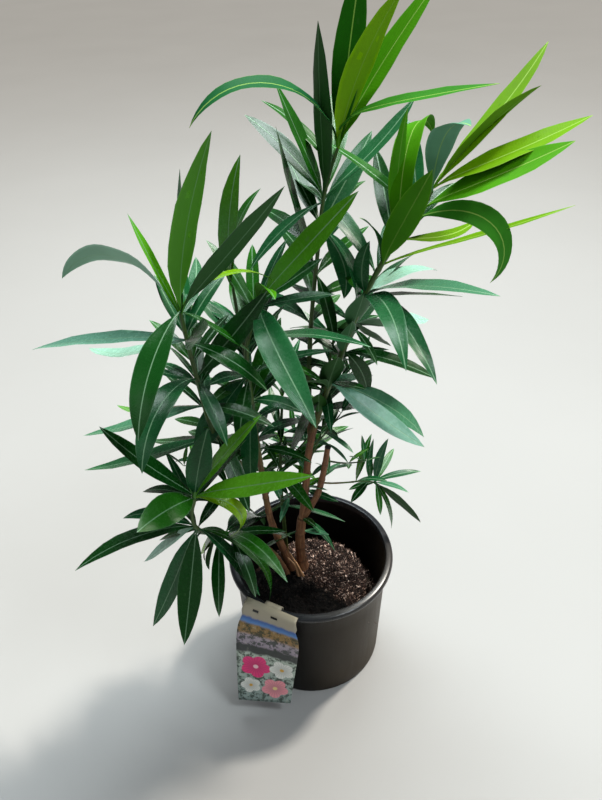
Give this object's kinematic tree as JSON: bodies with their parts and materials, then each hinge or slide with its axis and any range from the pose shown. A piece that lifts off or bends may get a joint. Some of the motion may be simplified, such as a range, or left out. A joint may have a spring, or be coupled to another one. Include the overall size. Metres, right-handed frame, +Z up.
{
  "type": "potted oleander",
  "caption": "Young oleander shrub with lance-shaped leaves in whorls on open upright stems, growing in a round nursery pot with a hanging plant label.",
  "frame": {"origin": "centre of the pot's flat underside", "axes": "+Z up, +X to the right and +Y away from a viewer who faces the side of the pot where the label hangs, with the label to the left of centre"},
  "size_m": [0.6419, 0.4214, 1.05],
  "materials": {
    "pot_plastic": "satin black moulded plastic",
    "label_card": "coated printed card",
    "peat_soil": "loose fibrous peat",
    "woody_bark": "reddish brown bark",
    "green_bark": "smooth olive brown bark",
    "young_leaf": "satin bright green leaf",
    "mature_leaf": "glossy dark green leaf"
  },
  "bodies": {
    "root": {"pot": "pot_plastic", "plant_label": "label_card", "soil": "peat_soil", "main_stem": "woody_bark", "right_bough": "woody_bark", "cut_branch": "woody_bark", "top_bough": "green_bark", "left_stem": "woody_bark", "left_bough": "green_bark", "inner_bough": "green_bark", "low_shoot": "woody_bark", "back_stem": "green_bark", "rear_bough": "green_bark", "side_twig": "green_bark", "top_head": "young_leaf", "top_whorl": "mature_leaf", "top_skirt": "mature_leaf", "right_head": "young_leaf", "right_whorl": "young_leaf", "right_crown": "mature_leaf", "right_skirt": "mature_leaf", "right_foot": "mature_leaf", "centre_head": "mature_leaf", "centre_whorl": "mature_leaf", "centre_foot": "mature_leaf", "inner_head": "mature_leaf", "left_head": "mature_leaf", "left_whorl": "mature_leaf", "left_skirt": "mature_leaf", "low_head": "mature_leaf", "low_whorl": "mature_leaf", "low_skirt": "mature_leaf", "back_head": "mature_leaf", "rear_head": "mature_leaf", "side_tuft": "mature_leaf"}
  },
  "joints": []
}
